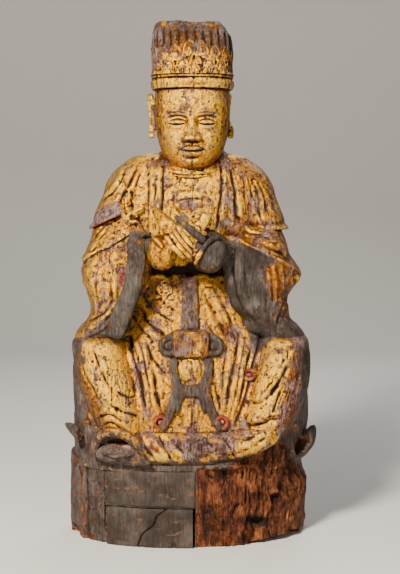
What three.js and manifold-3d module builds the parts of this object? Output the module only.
// A seated, gilded figure carved from one upright log together with its plinth, and the two thin boards that
// face the left half of the plinth's front. Millimetres, +Z up, the figure looks along -Y, and +X is to the
// right of someone who faces it. The origin is on the underside, below the figure's own axis.
import * as THREE from "three";
import { mergeVertices } from "three/addons/utils/BufferGeometryUtils.js";
import Module from "manifold-3d";

const wasm = await Module();
wasm.setup();

// Driving sizes
const HEIGHT = 503;
const PLINTH_TOP = 77;
const PLINTH_X = -1;
const PLINTH_HALF_WIDTH = 120;
const PLINTH_FRONT = 79;
const PLINTH_BACK = 68;
const SHORT_SLEEVE_Z = 303;
const CHIN_Z = 362;
const HAT_RIM_Z = 439;
const HEAD_X = 2.5;
const HEAD_Y = -14;
const HEAD_HALF_WIDTH = 36.5;
const SASH_X = 1.5;
const BOARD_THICK = 8;
const BOARD_GAP = 0.3;
const BOARD_RIGHT = 5;
const BOARD_LEFT = -82;
const BOARD_SEAM_Z = 38;

const signedPower = (value, power) => Math.sign(value) * Math.abs(value) ** power;
const mix = (a, b, t) => (Array.isArray(a) ? a.map((v, i) => mix(v, b[i], t)) : a + (b - a) * t);

// A smooth step from 0 at low to 1 at high.
const ease = (value, low, high) => THREE.MathUtils.smoothstep(value, low, high);

// A bell that is 1 at the middle and fades over the given width.
const bell = (offset, width) => Math.exp(-((offset / width) ** 2));

// One section between the rows of a table, by a cubic through the rows. Each row is [z, centre x, centre y,
// half width, reach to the front, reach to the back, squareness], where squareness 2 is an ellipse.
function sectionAt(table, z) {
  const last = table.length - 1;
  let i = 0;
  while (i < last - 1 && z > table[i + 1][0]) i++;
  const span = table[i + 1][0] - table[i][0];
  const t = THREE.MathUtils.clamp((z - table[i][0]) / span, 0, 1);
  const slope = (k, column) => {
    const below = table[Math.max(k - 1, 0)];
    const above = table[Math.min(k + 1, last)];
    return (above[column] - below[column]) / (above[0] - below[0]);
  };
  return table[i].map((start, column) => {
    if (column === 0) return z;
    const rise = table[i + 1][column] - start;
    const leaving = slope(i, column) * span;
    const arriving = slope(i + 1, column) * span;
    const square = 3 * rise - 2 * leaving - arriving;
    const cube = leaving + arriving - 2 * rise;
    return start + t * (leaving + t * (square + t * cube));
  });
}

function centreOf(ring) {
  const total = (axis) => ring.reduce((running, point) => running + point[axis], 0);
  return [0, 1, 2].map((axis) => total(axis) / ring.length);
}

// Joins rings of equal length into one closed mesh. An open run of rings ends in a point at the middle of its
// first and last ring, and a closed run joins its last ring to its first.
function skinned(rings, closed = false) {
  const around = rings[0].length;
  const points = [...rings.flat(), centreOf(rings[0]), centreOf(rings.at(-1))];
  const index = [];
  const at = (ring, step) => (ring % rings.length) * around + (step % around);
  for (let step = 0; step < around; step++) {
    for (let ring = 0; ring < rings.length - (closed ? 0 : 1); ring++) {
      const [a, b] = [at(ring, step), at(ring, step + 1)];
      const [c, d] = [at(ring + 1, step), at(ring + 1, step + 1)];
      index.push(a, b, d, a, d, c);
    }
    if (closed) continue;
    index.push(points.length - 2, at(0, step + 1), at(0, step));
    index.push(points.length - 1, at(rings.length - 1, step), at(rings.length - 1, step + 1));
  }
  const geometry = new THREE.BufferGeometry();
  geometry.setAttribute("position", new THREE.Float32BufferAttribute((closed ? rings : [points]).flat(2), 3));
  geometry.setIndex(index);
  return geometry;
}

// A body made of a table's sections. domeLow and domeHigh round its two ends over that height. carve(x, z,
// side) gives how far the surface stands out (+) or is cut in (-) there; side runs from -1 at the front to 1
// at the back. lean(x, z) lifts a point, and crowd draws the steps around towards the front.
function column(table, options) {
  const { around, up, heights, domeLow = 0, domeHigh = 0, crowd = 0 } = options;
  const { carve = () => 0, lean = () => 0 } = options;
  const [low, high] = [table[0][0], table.at(-1)[0]];
  const levels = heights ?? Array.from({ length: up + 1 }, (_, i) => low + ((high - low) * i) / up);
  const roundOff = (z) => {
    const intoLow = domeLow ? Math.max(0, (low + domeLow - z) / domeLow) : 0;
    const intoHigh = domeHigh ? Math.max(0, (z - high + domeHigh) / domeHigh) : 0;
    return Math.sqrt(Math.max(0.03, 1 - intoLow ** 2 - intoHigh ** 2));
  };
  const rings = levels.map((z) => {
    const [, x0, y0, wide, front, back, square] = sectionAt(table, z);
    const shrink = roundOff(z);
    return Array.from({ length: around }, (_, step) => {
      const even = (2 * Math.PI * step) / around;
      const turn = even - crowd * Math.cos(even);
      const along = signedPower(Math.sin(turn), 2 / square);
      const reach = along < 0 ? front : back;
      const [dx, dy] = [wide * signedPower(Math.cos(turn), 2 / square) * shrink, reach * along * shrink];
      const out = new THREE.Vector2(dx / wide ** 2, dy / reach ** 2).normalize();
      const lift = carve(x0 + dx, z, out.y) * Math.min(1, shrink * 2);
      return [x0 + dx + out.x * lift, y0 + dy + out.y * lift, z + lean(x0 + dx, z)];
    });
  });
  return skinned(rings);
}

// The y of a table's front surface at (x, z), for what lies on it.
function frontOf(table, x, z) {
  const [, x0, y0, wide, front, , square] = sectionAt(table, z);
  const off = Math.min(0.98, Math.abs((x - x0) / wide));
  return y0 - front * (1 - off ** square) ** (1 / square);
}

// A fold along a bowed line on the front, [x, z] to [x, z]: a groove with a lower ridge beside it. It is deepest
// in the middle and fades at its ends.
function fold({ from, to, bow = 0, width = 3, depth = 2 }) {
  const [ax, az] = from;
  const [dx, dz] = [to[0] - ax, to[1] - az];
  const long = Math.hypot(dx, dz);
  return (x, z) => {
    const along = ((x - ax) * dx + (z - az) * dz) / long ** 2;
    if (along < 0 || along > 1) return 0;
    const off = ((x - ax) * dz - (z - az) * dx) / long - bow * 4 * along * (1 - along);
    const ridge = 0.5 * bell(Math.abs(off) - 2 * width, width);
    return depth * (ridge - bell(off, width)) * Math.sqrt(Math.sin(Math.PI * along));
  };
}

// A family of folds, spread evenly between the first and the last.
function folds(first, last, count) {
  return Array.from({ length: count }, (_, i) => {
    const blend = Object.keys(first).map((key) => [key, mix(first[key], last[key], i / (count - 1))]);
    return fold(Object.fromEntries(blend));
  });
}

const sum = (parts) => (x, z, side) => parts.reduce((total, part) => total + part(x, z, side), 0);
const frontOnly = (part) => (x, z, side) => part(x, z) * ease(-side, 0, 0.35);

// Upright waves over the plain back, between two heights.
const backWaves = (deep, low, high) => (x, z, side) =>
  deep * Math.cos(0.19 * x) * ease(side, 0.2, 0.7) * ease(z, low, low + 40) * ease(high - z, 0, 50);

// A flat band with rounded shoulders along [x, y, z] points, `wide` across and `thick` deep along Y.
function band(path, wide, thick) {
  const section = [
    [-1, 0.8],
    [-1, -0.35],
    [-0.6, -1],
    [0.6, -1],
    [1, -0.35],
    [1, 0.8],
  ];
  const rings = path.map((point, i) => {
    const before = path[Math.max(i - 1, 0)];
    const after = path[Math.min(i + 1, path.length - 1)];
    const run = new THREE.Vector2(after[0] - before[0], after[2] - before[2]).normalize();
    return section.map(([across, deep]) => [
      point[0] - (run.y * across * wide) / 2,
      point[1] + deep * thick,
      point[2] + (run.x * across * wide) / 2,
    ]);
  });
  return skinned(rings);
}

// A round limb along a curve through points. Its radius runs through the given radii, and it is rounded at both
// ends. flat squeezes it across its path.
function limb(points, radii, { around = 7, steps = 6, flat = 1 } = {}) {
  const curve = new THREE.CatmullRomCurve3(points.map((p) => new THREE.Vector3(...p)));
  const frames = curve.computeFrenetFrames(steps, false);
  const rings = Array.from({ length: steps + 1 }, (_, i) => {
    const t = i / steps;
    const centre = curve.getPointAt(t);
    const place = t * (radii.length - 1);
    const k = Math.min(Math.floor(place), radii.length - 2);
    const intoEnd = Math.max(0, Math.abs(2 * t - 1) - 0.75) / 0.26;
    const radius = mix(radii[k], radii[k + 1], place - k) * Math.sqrt(1 - intoEnd ** 2);
    return Array.from({ length: around }, (_, step) => {
      const turn = (2 * Math.PI * step) / around;
      return centre
        .clone()
        .addScaledVector(frames.normals[i], radius * Math.cos(turn))
        .addScaledVector(frames.binormals[i], radius * flat * Math.sin(turn))
        .toArray();
    });
  });
  return skinned(rings);
}

// A geometry as a solid that faces outwards, and solids joined.
function solid(geometry) {
  for (const name of Object.keys(geometry.attributes)) if (name !== "position") geometry.deleteAttribute(name);
  const merged = mergeVertices(geometry, 1e-4);
  const vertProperties = new Float32Array(merged.attributes.position.array);
  const made = (triVerts) => new wasm.Manifold(new wasm.Mesh({ numProp: 3, vertProperties, triVerts }));
  const triangles = new Uint32Array(merged.index.array);
  const asGiven = made(triangles);
  return asGiven.volume() > 0 ? asGiven : made(triangles.reverse());
}

const joined = (geometries) => geometries.map(solid).reduce((whole, piece) => whole.add(piece));

function boxBetween(low, high) {
  const size = high.map((value, i) => value - low[i]);
  return new THREE.BoxGeometry(...size).translate(...low.map((value, i) => value + size[i] / 2));
}

// The plinth: a rounded block. Its raw right half is eaten back in upright gouges and at its foot, and its left
// foot is chipped.
const PLINTH = [
  [0, PLINTH_X, 0, PLINTH_HALF_WIDTH - 1, PLINTH_FRONT - 1.5, PLINTH_BACK - 1, 2.1],
  [40, PLINTH_X, 0, PLINTH_HALF_WIDTH, PLINTH_FRONT, PLINTH_BACK, 2.2],
  [PLINTH_TOP + 3, PLINTH_X, 0, PLINTH_HALF_WIDTH - 1, PLINTH_FRONT - 1, PLINTH_BACK, 2.45],
];

function rawWood(x, z, side) {
  const raw = ease(x, BOARD_RIGHT - 2, BOARD_RIGHT + 6) * ease(-side, -0.1, 0.3);
  const gouges = 1.3 * Math.sin(0.55 * x + 0.04 * z) + 1.1 * Math.sin(0.21 * x + 1.7);
  const hollow = 6 * bell(x - 66, 13) * bell(z - 26, 13) + 3 * bell(x - 20, 6) * bell(z - 16, 12);
  const shoulder = 8 * ease(x, 84, 108) * ease(z, 50, 64) * ease(-side, -0.6, -0.1);
  return -raw * (2 + gouges + hollow) - shoulder;
}

function plinth() {
  const block = solid(column(PLINTH, { around: 44, up: 3, carve: rawWood, crowd: 0.4 }));
  const leftChip = new THREE.BoxGeometry(30, 60, 26).rotateY(0.5).translate(-130, -40, 0);
  const rightDecay = new THREE.BoxGeometry(90, 80, 20).rotateY(-0.1).translate(86, -58, -3.7);
  return block.subtract(solid(leftChip)).subtract(solid(rightDecay));
}

// The coat's skirts over the folded legs, and the lap that rises between them.
const SKIRTS = [
  [PLINTH_TOP - 4, -2, 0, 113, 75, 65, 3],
  [100, 0, 0, 116, 76, 65, 3],
  [150, 0.5, 0, 117.5, 73, 61, 3],
  [176, 0.5, 0, 117, 68, 58, 2.9],
  [190, -1, 0, 113, 65, 55, 2.7],
  [202, -1, 0, 102, 61, 52, 2.5],
  [222, 0, 0, 86, 55, 50, 2.3],
  [250, 0, 0, 78, 46, 50, 2.3],
];

const skirtFolds = frontOnly(
  sum([
    ...folds(
      { from: [-52, 190], to: [-33, 118], bow: -2, width: 2.4, depth: 1.6 },
      { from: [-34, 186], to: [-24, 120], bow: 2, width: 2.2, depth: 1.6 },
      3,
    ),
    ...folds(
      { from: [36, 196], to: [34, 118], bow: -3, width: 2.2, depth: 1.6 },
      { from: [62, 182], to: [46, 116], bow: -3, width: 2.4, depth: 1.8 },
      3,
    ),
    ...folds(
      { from: [-46, 236], to: [-14, 204], bow: 4, width: 2.6, depth: 2 },
      { from: [-44, 214], to: [-20, 184], bow: 3, width: 2.6, depth: 1.8 },
      3,
    ),
    fold({ from: [16, 232], to: [36, 196], bow: -3, width: 2.6, depth: 1.6 }),
  ]),
);

function skirts() {
  const carve = sum([skirtFolds, backWaves(1.6, 80, 250)]);
  return column(SKIRTS, { around: 38, up: 9, domeHigh: 4, crowd: 0.35, carve });
}

// The shins under the robe: tall ovals that narrow and lean inwards as they go down.
const LEFT_SHIN = [
  [98, -59, -48, 20, 29, 26, 2.3],
  [116, -66, -47, 25, 36, 28, 2.3],
  [138, -73, -45, 28, 40, 30, 2.3],
  [160, -79, -43, 29, 42, 30, 2.3],
  [180, -84, -40, 29, 41, 28, 2.3],
  [194, -87, -37, 26, 34, 25, 2.3],
  [203, -87, -34, 20, 26, 20, 2.2],
];
const RIGHT_SHIN = [
  [98, 68, -48, 20, 29, 26, 2.3],
  [116, 74, -47, 27, 36, 28, 2.3],
  [138, 81, -45, 30, 40, 30, 2.3],
  [160, 87, -43, 29.5, 42, 30, 2.3],
  [180, 91, -40, 26, 41, 28, 2.3],
  [194, 92, -37, 22, 34, 25, 2.3],
  [203, 91, -34, 17, 26, 20, 2.2],
];

function shin(table, hand) {
  const sweep = folds(
    { from: [hand * 106, 182], to: [hand * 82, 112], bow: hand * 3, width: 2.2, depth: 1.5 },
    { from: [hand * 90, 190], to: [hand * 60, 120], bow: hand * 8, width: 2.4, depth: 1.7 },
    3,
  );
  const tuck = fold({ from: [hand * 84, 142], to: [hand * 54, 128], bow: hand * -2, width: 2.4, depth: 2.4 });
  const carve = frontOnly(sum([...sweep, tuck]));
  return column(table, { around: 16, up: 8, domeLow: 14, domeHigh: 22, crowd: 0.4, carve });
}

// The rolled hem, hung between the feet like a swag: low in the middle, rising to both ends.
function hem() {
  const steps = 14;
  const reach = 95;
  const rings = Array.from({ length: steps + 1 }, (_, i) => {
    const t = (2 * i) / steps - 1;
    const x = 1 + reach * Math.sin((t * Math.PI) / 2);
    const off = Math.abs(t);
    const middle = 95 + 22 * off ** 2.2;
    const y = Math.min(frontOf(SKIRTS, x, 100), -58) + 4;
    const half = (17.5 - 6 * off) * Math.sqrt(Math.max(0.1, 1 - t ** 8));
    return Array.from({ length: 8 }, (_, step) => {
      const turn = (2 * Math.PI * (step + 0.5)) / 8;
      return [x, y + 13 * Math.cos(turn), middle + half * Math.sin(turn)];
    });
  });
  return skinned(rings);
}

// An upright almond in the X-Z plane that bulges along Y.
function almond([x, y, z], wide, tall, deep) {
  const rings = [-1, -0.7, 0, 0.7, 1].map((t) => {
    const swell = Math.sqrt(Math.max(0.08, 1 - t * t));
    return Array.from({ length: 12 }, (_, step) => {
      const turn = (2 * Math.PI * step) / 12;
      const point = signedPower(Math.sin(turn), 1.4);
      return [x + wide * swell * Math.cos(turn), y + deep * t, z + tall * swell * point];
    });
  });
  return skinned(rings);
}

// The gaping fold under the left end of the hem: a full lower lip and a hollow above it.
function gapingFold() {
  const lip = solid(almond([-67, -66, 93], 28, 13, 18));
  const hollow = solid(almond([-70, -84, 101], 21, 5.5, 9));
  return { lip, hollow };
}

// The torso from the lap up to the neck.
const TORSO = [
  [212, 0, 0, 80, 52, 50, 2.3],
  [235, 0, 0, 76, 46, 50, 2.3],
  [262, 0, 0, 76, 42, 50, 2.3],
  [300, 0, 0, 80, 45, 50, 2.3],
  [324, -1, 0, 82, 46, 48, 2.3],
  [340, -1, -1, 78, 43, 44, 2.2],
  [354, -1.5, -2, 68, 38, 38, 2.1],
  [365, -1, -3, 54, 31, 31, 2],
  [374, HEAD_X, -4, 38, 24, 26, 2],
  [386, HEAD_X, -6, 26, 20, 24, 2],
];

function robeFront(x, z) {
  const lapel = bell(Math.abs(x - SASH_X) - 31, 5) * ease(z, 252, 262) * ease(376 - z, 0, 16);
  const neckline = bell(Math.hypot((x - SASH_X) / 1.15, z - 368) - 27, 2) * ease(368 - z, 0, 8);
  return 2.6 * lapel - 1.4 * neckline;
}

function torso() {
  const carve = sum([frontOnly(robeFront), backWaves(1.3, 200, 360)]);
  return column(TORSO, { around: 32, up: 10, crowd: 0.4, carve });
}

// The short outer sleeve: from the shoulder down to a flared, undercut hem, which is slanted on the left.
function shortSleeve(hand) {
  const shift = hand < 0 ? 0 : -1.5;
  const table = [
    [SHORT_SLEEVE_Z, hand * 75 + shift, -12, 23.5, 37, 30, 2.3],
    [313, hand * 73 + shift, -12, 22, 35, 30, 2.3],
    [324, hand * 69.5 + shift, -10, 21.5, 33, 29, 2.2],
    [336, hand * 64.5 + shift, -8, 22, 31, 28, 2.1],
    [348, hand * 58 + shift, -7, 24, 29, 26, 2.1],
    [360, hand * 50 + shift, -5, 25, 25, 23, 2],
    [369, hand * 42 + shift, -4, 22, 19, 19, 2],
    [378, hand * 36 + shift, -4, 16, 14, 14, 2],
  ];
  const fan = folds(
    { from: [hand * 78, 350], to: [hand * 90, 306], bow: hand * 2, width: 1.9, depth: 1.6 },
    { from: [hand * 46, 368], to: [hand * 58, 312], bow: hand * 4, width: 2.2, depth: 2 },
    4,
  );
  const slant = (x, z) => (hand < 0 ? 0.45 * (x + 98) * ease(336 - z, 0, 33) : 0);
  return column(table, { around: 20, up: 6, domeHigh: 6, crowd: 0.35, carve: frontOnly(sum(fan)), lean: slant });
}

// The wide sleeves: each swells at the elbow, hangs to the lap, and spreads over the knee at its foot.
const LEFT_SLEEVE = [
  [184, -93, -34, 22, 40, 34, 2.4],
  [194, -90, -35, 24.5, 42, 36, 2.4],
  [206, -81, -36, 24, 40, 36, 2.3],
  [218, -77, -36, 21, 38, 36, 2.3],
  [229, -74, -36, 22, 38, 38, 2.4],
  [241, -73, -35, 26, 39, 40, 2.5],
  [253, -71.5, -34, 32, 40, 41, 2.6],
  [266, -71, -32, 34, 38, 40, 2.6],
  [280, -69.5, -29, 31.5, 35, 38, 2.6],
  [294, -68, -24, 29, 31, 34, 2.5],
  [312, -66, -18, 26, 26, 30, 2.2],
  [330, -60, -12, 20, 20, 24, 2.2],
];
const RIGHT_SLEEVE = [
  [184, 94, -34, 19, 40, 34, 2.4],
  [194, 91, -35, 22, 42, 36, 2.4],
  [206, 82, -36, 25, 40, 36, 2.3],
  [218, 74, -37, 23.5, 39, 36, 2.3],
  [229, 69, -37, 26.5, 39, 38, 2.8],
  [241, 66.5, -36, 29, 39, 40, 3],
  [253, 70, -35, 36, 40, 41, 3],
  [263, 70.5, -33, 37.5, 39, 41, 3],
  [277, 65.5, -30, 33, 38, 38, 3],
  [290, 63, -26, 30, 34, 36, 3],
  [308, 62, -18, 27, 26, 30, 2.5],
  [326, 57, -12, 20, 20, 24, 2.2],
];

// The inner edge of the right sleeve's mouth, as x at a height.
const mouthEdge = (z) => 33 + 0.0091 * Math.max(0, 268 - z) ** 2;

function sleeve(table, hand) {
  const sweep = folds(
    { from: [hand * 96, 290], to: [hand * 90, 206], bow: hand * 4, width: 2.2, depth: 1.5 },
    { from: [hand * 66, 292], to: [hand * 72, 208], bow: hand * 2, width: 2.2, depth: 1.7 },
    hand < 0 ? 4 : 3,
  );
  const lining = (x, z) => {
    const inside = ease(x, mouthEdge(z) + 4, mouthEdge(z) + 11) * ease(86 - x, 0, 10);
    return -(2 + 5 * bell(z - 204, 16)) * inside * ease(z, 190, 200) * ease(292 - z, 0, 8);
  };
  const carve = frontOnly(sum(hand < 0 ? sweep : [...sweep, lining]));
  return column(table, { around: 18, up: 10, domeHigh: 10, crowd: 0.35, carve });
}

// The left sleeve's lining: a thick edge that hangs inside its mouth and turns out over the knee.
const liningEdge = () =>
  limb(
    [
      [-47, -48, 304],
      [-48.5, -68, 282],
      [-50, -76, 260],
      [-55, -78, 238],
      [-61, -79, 220],
      [-71, -80, 205],
      [-88, -78, 195],
    ],
    [8, 8.5, 8.5, 8.5, 8.5, 9.5, 9],
    { around: 7, steps: 9, flat: 0.85 },
  );

// The two full cuffs that meet in front of the chest, each on the forearm that carries it.
function cuff(hand) {
  const [middle, radii] = hand < 0 ? [[-25.5, -73, 283], [14.5, 13, 16.5]] : [[18.5, -75, 281], [17, 14, 17]];
  const bulge = new THREE.SphereGeometry(1, 11, 7).scale(...radii).translate(...middle);
  const forearm = limb([[hand * 66, -30, 287], [hand * 44, -50, 285], middle], [13, 13, 13], { steps: 4 });
  return [bulge, forearm];
}

// The hands: the left one lies over the right, four fingers running down to the right and a thumb above them.
function hands() {
  const knuckles = [-15, -86, 297];
  const palm = new THREE.SphereGeometry(1, 10, 7).scale(15, 8, 11.5).rotateY(0.76).translate(-19, -79, 301);
  const wrist = limb([[-42, -52, 322], [-34, -62, 314], [-22, -76, 303]], [8, 10, 11], { steps: 4 });
  const fingers = [
    [-1, 274],
    [4, 280.5],
    [9, 286.5],
    [13, 292],
  ].map(([x, z], i) => {
    const aside = 5 * (i - 1.5);
    const start = [knuckles[0] + 0.69 * aside, -86, knuckles[2] + 0.73 * aside];
    const middle = [mix(start[0], x, 0.5), -91, mix(start[2], z, 0.5) + 1];
    return limb([start, middle, [x, -88, z]], [3.5, 3.4, 2.8], { around: 5, steps: 4 });
  });
  const thumbLine = [
    [-16, -80, 315],
    [-8, -90, 306],
    [5, -94, 298],
    [18, -88, 289],
  ];
  const thumb = limb(thumbLine, [3.4, 4.2, 4, 3.4]);
  const underHand = limb([[36, -52, 300], [20, -66, 304], [6, -76, 308]], [10, 11, 8], { steps: 4 });
  return [palm, wrist, ...fingers, thumb, underHand];
}

// A point on the lap's front, standing out by `out`.
const onLap = (x, z, out = 0) => [x, frontOf(SKIRTS, x, z) - out, z];

// The sash: a straight fall, a plaque with two loops, and two ribbons that meet at a cross-piece below it and
// end in curls.
function sash() {
  const fall = band([246, 233, 220, 206, 196].map((z) => onLap(0.5, z, 2)), 15.5, 3.5);
  const plaque = boxBetween([SASH_X - 16.5, -73, 183], [SASH_X + 16.5, -55, 208]);
  const loops = [-1, 1].map((hand) => {
    const line = [
      [14, 195, 1],
      [22, 197, 2],
      [27, 190, 1],
    ].map(([aside, z, out]) => onLap(SASH_X + hand * aside, z, out));
    return limb(line, [4, 6.5, 5], { steps: 4 });
  });
  const halfSpread = [
    [182, 15],
    [172, 15.5],
    [161, 13],
    [152, 11],
    [144, 13.5],
    [132, 19.5],
    [120, 24],
    [113, 27],
  ];
  const ribbons = [-1, 1].map((hand) => {
    const line = halfSpread.map(([z, half]) => onLap(SASH_X + hand * half, z, 2));
    return band(line, 8.5, 3.5);
  });
  const bridge = band([-12, -6, 0, 6, 12].map((x) => onLap(SASH_X + x, 149 + 0.03 * x * x, 2)), 10, 3.5);
  const curls = [-1, 1].map((hand) => {
    const line = Array.from({ length: 7 }, (_, i) => {
      const turn = (i / 6) * 1.5 * Math.PI;
      return onLap(SASH_X + hand * (29 - 6.5 * Math.cos(turn)), 120 - 6.5 * Math.sin(turn), 2);
    });
    return band(line, 4.5, 4);
  });
  return [fall, plaque, ...loops, ...ribbons, bridge, ...curls];
}

// The coat's tails, which flick outwards just above the plinth: a curled leaf, hollow towards the front.
function flick(hand) {
  const lift = hand < 0 ? 3 : 0;
  const spine = [
    [hand * (92 - lift), -26, 86 + lift],
    [hand * (106 - 2.6 * lift), -32, 91 + lift],
    [hand * (116 - 3.2 * lift), -34, 99 + lift],
    [hand * 123, -32, 111 + 0.4 * lift],
  ];
  const leaf = solid(limb(spine, [15 - lift, 14 - lift, 9 - 0.6 * lift, 2], { around: 8, steps: 5, flat: 0.8 }));
  const inner = spine.map(([x, y, z]) => [x + hand, y - 12, z + 1]);
  return leaf.subtract(solid(limb(inner, [2, 9, 7, 1], { around: 6, steps: 5 })));
}

// The head, on the proportions that drawing books give: the face in thirds from the hat's rim to the chin,
// five eye widths across. Everything on it is worked out from those two measures.
const FACE_THIRD = (HAT_RIM_Z - CHIN_Z) / 3;
const EYE_WIDTH = (2 * HEAD_HALF_WIDTH) / 5;
const BROW_Z = CHIN_Z + 2 * FACE_THIRD;
const EYE_Z = BROW_Z - FACE_THIRD * 0.32;
const NOSE_BASE_Z = CHIN_Z + FACE_THIRD;
const MOUTH_Z = NOSE_BASE_Z - FACE_THIRD * 0.36;

const HEAD = [
  [CHIN_Z - 3, HEAD_X, HEAD_Y + 4, 14, 24, 20, 2],
  [CHIN_Z + 3, HEAD_X, HEAD_Y + 3, 24, 34, 26, 2.1],
  [CHIN_Z + 14, HEAD_X, HEAD_Y + 1, 31, 36, 32, 2.2],
  [CHIN_Z + 30, HEAD_X, HEAD_Y, 36, 37, 36, 2.2],
  [CHIN_Z + 46, HEAD_X, HEAD_Y, HEAD_HALF_WIDTH, 36, 38, 2.2],
  [CHIN_Z + 62, HEAD_X, HEAD_Y, 37, 35, 38, 2.2],
  [HAT_RIM_Z + 4, HEAD_X, HEAD_Y, 36, 34, 37, 2.2],
];

function face(x, z) {
  const off = x - HEAD_X;
  const aside = Math.abs(off);
  const bridge = 3 * bell(off, 4) * ease(z, NOSE_BASE_Z, NOSE_BASE_Z + 8) * ease(BROW_Z + 2 - z, 0, 10);
  const tip = 5.5 * bell(off, 4.6) * bell(z - NOSE_BASE_Z - 4, 5);
  const wings = 2.6 * bell(aside - 6, 3) * bell(z - NOSE_BASE_Z - 3, 3.4);
  const sockets = -2.6 * bell(aside - EYE_WIDTH, 8) * bell(z - EYE_Z, 5);
  const lids = 2.4 * bell(aside - EYE_WIDTH, 6) * bell(z - EYE_Z, 2.4);
  const browLine = BROW_Z + 1.4 - 0.012 * (aside - EYE_WIDTH) ** 2;
  const brows = 1.4 * bell(z - browLine, 2.6) * bell(aside - EYE_WIDTH, 11);
  const lips = 2.6 * bell(off, 9) * (bell(z - MOUTH_Z - 2.4, 2) + bell(z - MOUTH_Z + 2.8, 2.2));
  const cheeks = 1.6 * bell(aside - 18, 9) * bell(z - NOSE_BASE_Z, 9);
  const chin = 2.6 * bell(off, 9) * bell(z - CHIN_Z - 6, 6);
  return bridge + tip + wings + sockets + lids + brows + lips + cheeks + chin;
}

const head = () => column(HEAD, { around: 26, up: 16, domeLow: 5, crowd: 0.6, carve: frontOnly(face) });

// A long-lobed ear against the side of the head. The left one stands out further.
function ear(hand) {
  const side = HEAD_X - 3 + hand * (HEAD_HALF_WIDTH - 0.5);
  const line = [
    [-0.5, 10, 72],
    [1.5, 5, 63],
    [-0.5, 3, 48],
    [0.5, 1, 29],
  ].map(([out, back, up]) => [side + hand * out, HEAD_Y + back, CHIN_Z + up]);
  return limb(line, [4, 5, 3.4, 3.6], { around: 7, steps: 6 });
}

// The hat: a plain rim, a band of lozenges, upright flutes above them, and a worn crown.
const HAT_FLUTES = 20;
const HAT = [
  [HAT_RIM_Z, 2, HEAD_Y + 1, 40, 39, 39, 2.5],
  [446, 2, HEAD_Y + 1, 41, 40, 40, 2.5],
  [450, 2, HEAD_Y + 1, 39.5, 38.5, 39, 2.5],
  [470, 1.5, HEAD_Y + 1, 40, 38.5, 39.5, 2.6],
  [484, 1.5, HEAD_Y + 2, 39.5, 37.5, 39, 2.6],
  [494, 1, HEAD_Y + 3, 38, 35.5, 37, 2.6],
  [HEIGHT - 1, 1, HEAD_Y + 4, 34.5, 31, 32, 2.5],
];

function hatRelief(x, z, side) {
  const turn = Math.atan2(side, (x - 2) / 40);
  const fluted = ease(z, 464, 468) * ease(496 - z, 0, 5);
  const lozenges = ease(z, 449, 452) * ease(468 - z, 0, 4);
  const diamond = Math.abs(Math.cos(0.5 * HAT_FLUTES * turn + 0.35 * (z - 458)));
  return 1.2 * fluted * Math.cos(HAT_FLUTES * turn) + lozenges * diamond;
}

const hat = () =>
  column(HAT, {
    around: 4 * HAT_FLUTES,
    heights: [HAT_RIM_Z, 446, 450, 459, 468, 492, HEIGHT - 1],
    carve: hatRelief,
  });

// The roll of the collar, close under the chin and higher at the nape.
function collar() {
  const rings = Array.from({ length: 18 }, (_, i) => {
    const turn = (2 * Math.PI * i) / 18;
    const out = [Math.cos(turn), Math.sin(turn)];
    return Array.from({ length: 5 }, (_, step) => {
      const spin = (2 * Math.PI * step) / 5;
      const reach = 31 + 2.8 * Math.cos(spin);
      return [HEAD_X + reach * out[0], -8 + reach * out[1], 368 + 8 * out[1] + 2.8 * Math.sin(spin)];
    });
  });
  return skinned(rings, true);
}

// A facing board, rounded in front like the plinth and flat behind. grow makes it larger all round, for the
// rebate it sits in.
function boardSolid(left, right, low, high, grow = 0) {
  const proud = 1.2;
  const steps = 8;
  const outline = new THREE.Shape();
  const front = (x) => frontOf(PLINTH, x, BOARD_SEAM_Z) - proud;
  for (let i = 0; i <= steps; i++) {
    const x = mix(left - grow, right + grow, i / steps);
    const y = front(x) - (grow ? 6 : 0);
    if (i === 0) outline.moveTo(x, y);
    else outline.lineTo(x, y);
  }
  outline.lineTo(right + grow, front(right) + BOARD_THICK + 2 + grow);
  outline.lineTo(left - grow, front(left) + BOARD_THICK / 2 + grow);
  const geometry = new THREE.ExtrudeGeometry(outline, { depth: high - low + 2 * grow, bevelEnabled: false });
  return solid(geometry.translate(0, 0, low - grow));
}

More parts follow.
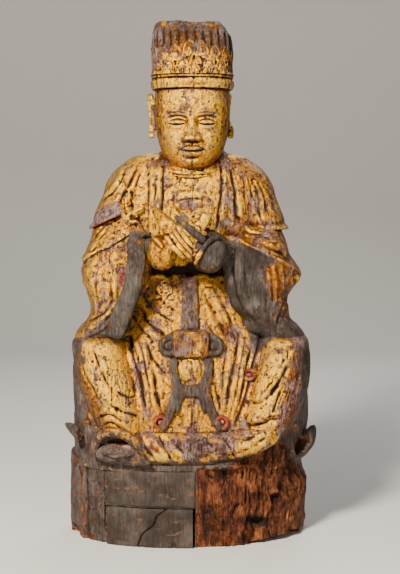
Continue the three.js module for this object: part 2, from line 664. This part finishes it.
const upperBoard = () => boardSolid(BOARD_LEFT, BOARD_RIGHT, BOARD_SEAM_Z + 0.4, PLINTH_TOP - 3);

// The lower board is split by a crack that runs down to the left from the seam.
function lowerBoard() {
  const board = boardSolid(BOARD_LEFT + 2, BOARD_RIGHT - 2, 0, BOARD_SEAM_Z - 0.4);
  const split = [
    [-18, BOARD_SEAM_Z + 1],
    [-28, 26],
    [-34, 20],
    [-50, -1],
  ].map(([x, z]) => [x, frontOf(PLINTH, x, BOARD_SEAM_Z) - 2, z]);
  return board.subtract(solid(band(split, 1.4, 5)));
}

function named(name, made, colour, roughness, metalness) {
  const { vertProperties, triVerts } = made.getMesh();
  const geometry = new THREE.BufferGeometry();
  geometry.setAttribute("position", new THREE.BufferAttribute(new Float32Array(vertProperties), 3));
  geometry.setIndex(new THREE.BufferAttribute(new Uint32Array(triVerts), 1));
  geometry.computeVertexNormals();
  const mesh = new THREE.Mesh(geometry, new THREE.MeshStandardMaterial({ color: colour, roughness, metalness }));
  mesh.name = name;
  return mesh;
}

function carvedFigure() {
  const pairs = [-1, 1].flatMap((hand) => [shortSleeve(hand), ...cuff(hand), ear(hand)]);
  const shins = [shin(LEFT_SHIN, -1), shin(RIGHT_SHIN, 1)];
  const sleeves = [sleeve(LEFT_SLEEVE, -1), sleeve(RIGHT_SLEEVE, 1), liningEdge()];
  const robe = joined([skirts(), hem(), torso(), collar(), ...shins, ...sleeves, ...pairs, ...sash()]);
  const { lip, hollow } = gapingFold();
  const lower = robe.add(plinth()).add(lip).subtract(hollow).add(flick(-1)).add(flick(1));
  const rebate = boardSolid(BOARD_LEFT, BOARD_RIGHT, -4, PLINTH_TOP - 3, BOARD_GAP);
  return lower.subtract(rebate).add(joined([head(), hat(), ...hands()]));
}

const statue = new THREE.Group();
statue.add(
  named("carved_figure_with_plinth", carvedFigure(), 0xc79a3c, 0.5, 0.35),
  named("plinth_upper_board", upperBoard(), 0x5d5650, 0.85, 0),
  named("plinth_lower_board", lowerBoard(), 0x5a544c, 0.85, 0),
);

export default statue;
